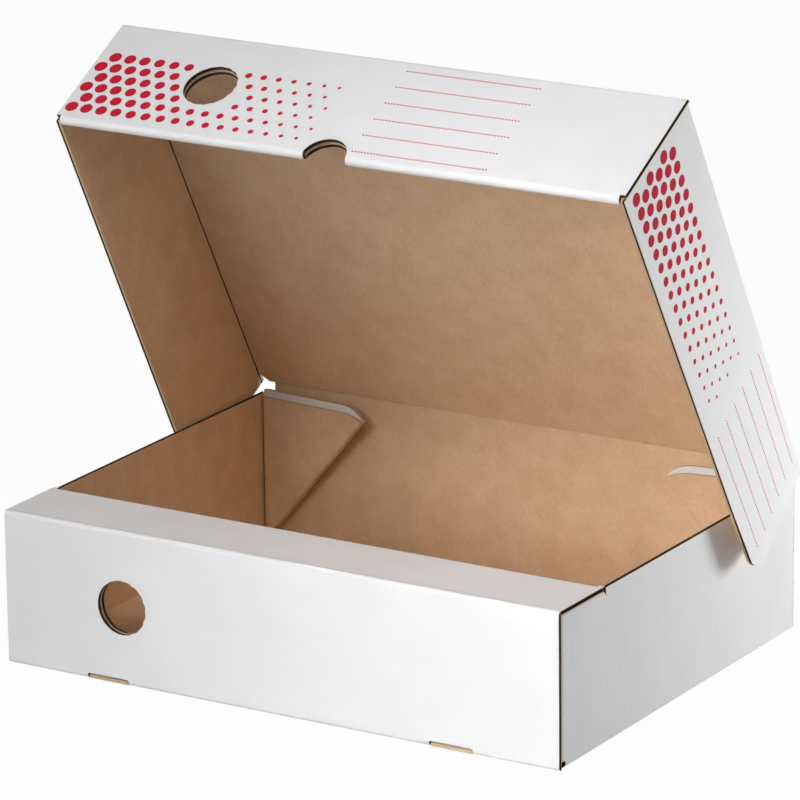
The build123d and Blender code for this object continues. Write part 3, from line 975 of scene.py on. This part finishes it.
def printed(design, sheet, start, drop, bend=None):
    """Dots of a design on a sheet; start is the first column's place and drop that of the lowest row."""
    corner = sheet @ Vector((start, -drop, 0))
    hole = sheet.to_3x3().inverted() @ (Vector((hole_at.x, corner.y, hole_at.z)) - corner)
    on_front = sheet is front_sheet
    mesh = grown(DOTS_TREE, {
        **design, "Film": FILM, "Material": MATERIALS["red_flexo_ink"],
        "Hole Centre": hole if on_front else (0, 0, 0), "Hole Radius": HOLE_MARGIN if on_front else NO_HOLE})
    mesh.transform(Matrix.Translation(corner) @ sheet.to_3x3().to_4x4())
    if bend:
        for vertex in mesh.vertices:
            vertex.co = bend(vertex.co)
    mesh.transform(turned["lid"])
    return mesh


right_bend = flap_bend("lid_right_flap", 1)
ink = bmesh.new()
ink.from_mesh(printed(FIELD, front_sheet, FRONT_FIELD_START, FIELD_LOW))
ink.from_mesh(printed(LINES, front_sheet, FRONT_LINES_START, LINES_LOW))
ink.from_mesh(printed(FIELD, flap_sheet, FLAP_FIELD_START, FIELD_LOW, right_bend))
ink.from_mesh(printed(LINES, flap_sheet, FLAP_LINES_START, LINES_LOW, right_bend))
print("print", len(ink.faces), "faces")
finish_piece(ink, "lid_print", "lid_front_flap", "X", "Z", ["red_flexo_ink"])

# %% [markdown]
# ## Floor, light and camera
# A plain white floor in a white room, as in a catalogue studio. The camera, and anything that mirrors,
# sees both almost white, while the light that they throw on the box stays low.

# %% Floor and room
FLOOR_HALF = 6.0
FLOOR_GLOW = 0.97
ROOM_LIGHT = 0.08


def seen_directly(tree):
    """One for rays from the camera, a mirror or a glass, and nought for the rays that light the box."""
    rays = add(tree, "ShaderNodeLightPath").outputs
    shown = add(tree, "ShaderNodeMath", {
        0: rays["Is Camera Ray"], 1: rays["Is Glossy Ray"]}, operation="MAXIMUM").outputs[0]
    return add(tree, "ShaderNodeMath", {
        0: shown, 1: rays["Is Transmission Ray"]}, operation="MAXIMUM").outputs[0]


floor_mesh = bpy.data.meshes.new("floor")
corners = [(FLOOR_HALF * x, FLOOR_HALF * y, -FLOOR_GAP) for x, y in ((-1, -1), (1, -1), (1, 1), (-1, 1))]
floor_mesh.from_pydata(corners, [], [(0, 1, 2, 3)])
floor = link("floor", floor_mesh)
white_floor = bpy.data.materials.new("white_floor")
white_floor.use_nodes = True
tree = white_floor.node_tree
matt = tree.nodes["Principled BSDF"]
matt.inputs["Base Color"].default_value = colour("#D4D4D4")
matt.inputs["Roughness"].default_value = 0.9
glow = add(tree, "ShaderNodeEmission", {"Strength": 1.0}).outputs[0]
part = add(tree, "ShaderNodeMath", {0: seen_directly(tree), 1: FLOOR_GLOW}, operation="MULTIPLY").outputs[0]
mixed = add(tree, "ShaderNodeMixShader", {"Fac": part, 1: matt.outputs[0], 2: glow})
tree.links.new(mixed.outputs[0], tree.nodes["Material Output"].inputs["Surface"])
floor_mesh.materials.append(white_floor)

world = bpy.data.worlds.new("studio")
bpy.context.scene.world = world
world.use_nodes = True
tree = world.node_tree
dim = add(tree, "ShaderNodeBackground", {"Color": colour("#FFFFFF"), "Strength": ROOM_LIGHT}).outputs[0]
bright = add(tree, "ShaderNodeBackground", {"Color": colour("#FFFFFF"), "Strength": 1.0}).outputs[0]
sky = add(tree, "ShaderNodeMixShader", {"Fac": seen_directly(tree), 1: dim, 2: bright}).outputs[0]
tree.links.new(sky, tree.nodes["World Output"].inputs["Surface"])
print("floor", 2 * FLOOR_HALF, "m across")

# %% [markdown]
# A large lamp far to the left is the main light. Two smaller ones fill the front, one looks down into the
# tray, a low one lights the right side, and a narrow beam lifts the right end of the box. Places and
# sizes are in metres, and powers in watts.

# %% Lamps
BOX_MIDDLE = (0, 0, 0.12)


def lamp(name, place, size, power, aim=BOX_MIDDLE, spread=180):
    """A square soft lamp that faces the middle of the box or another place, in a wide or a narrow beam."""
    light = bpy.data.lights.new(name, "AREA")
    light.size = size
    light.energy = power
    light.spread = math.radians(spread)
    made = link(name, light)
    made.location = place
    made.rotation_euler = (Vector(place) - Vector(aim)).to_track_quat("Z", "Y").to_euler()


lamp("key", (-1.8, -1.6, 0.9), 0.8, 16)
lamp("near_left", (-0.45, -0.9, 0.55), 0.4, 1.6, aim=(0.1, 0, 0.15))
lamp("high", (0, -0.8, 1.0), 0.6, 2.0)
lamp("top", (0.2, -0.35, 0.75), 0.3, 1.1)
lamp("side", (0.6, 0.5, 0.1), 0.3, 3.5, aim=(0.1, 0, 0.05))
lamp("beam", (-0.6, -2.2, 0.7), 0.5, 0.5, aim=(0.28, -0.1, 0.08), spread=14)
print("lamps", len(bpy.data.lights))

# %% [markdown]
# The camera stands where the photograph was taken from, worked out from the corners of the box.

# %% Camera
CAMERA_PLACE = Vector((1603.0, -2621.1, 1075.6)) * MM
CAMERA_AZIMUTH = math.radians(31.466)
CAMERA_ELEVATION = math.radians(16.92)
CAMERA_ROLL = math.radians(-0.658)
SENSOR_WIDTH, LENS, FAR_CLIP = 36, 265.54, 50
camera_data = bpy.data.cameras.new("camera")
camera_data.sensor_width = SENSOR_WIDTH
camera_data.lens = LENS
camera_data.clip_end = FAR_CLIP
camera = link("camera", camera_data)
aimed = Matrix.Rotation(CAMERA_AZIMUTH, 4, "Z") @ Matrix.Rotation(math.pi / 2 - CAMERA_ELEVATION, 4, "X")
camera.matrix_world = Matrix.Translation(CAMERA_PLACE) @ aimed @ Matrix.Rotation(CAMERA_ROLL, 4, "Z")
bpy.context.scene.camera = camera
bpy.context.scene.view_settings.view_transform = "Standard"
print("camera lens", LENS, "mm")
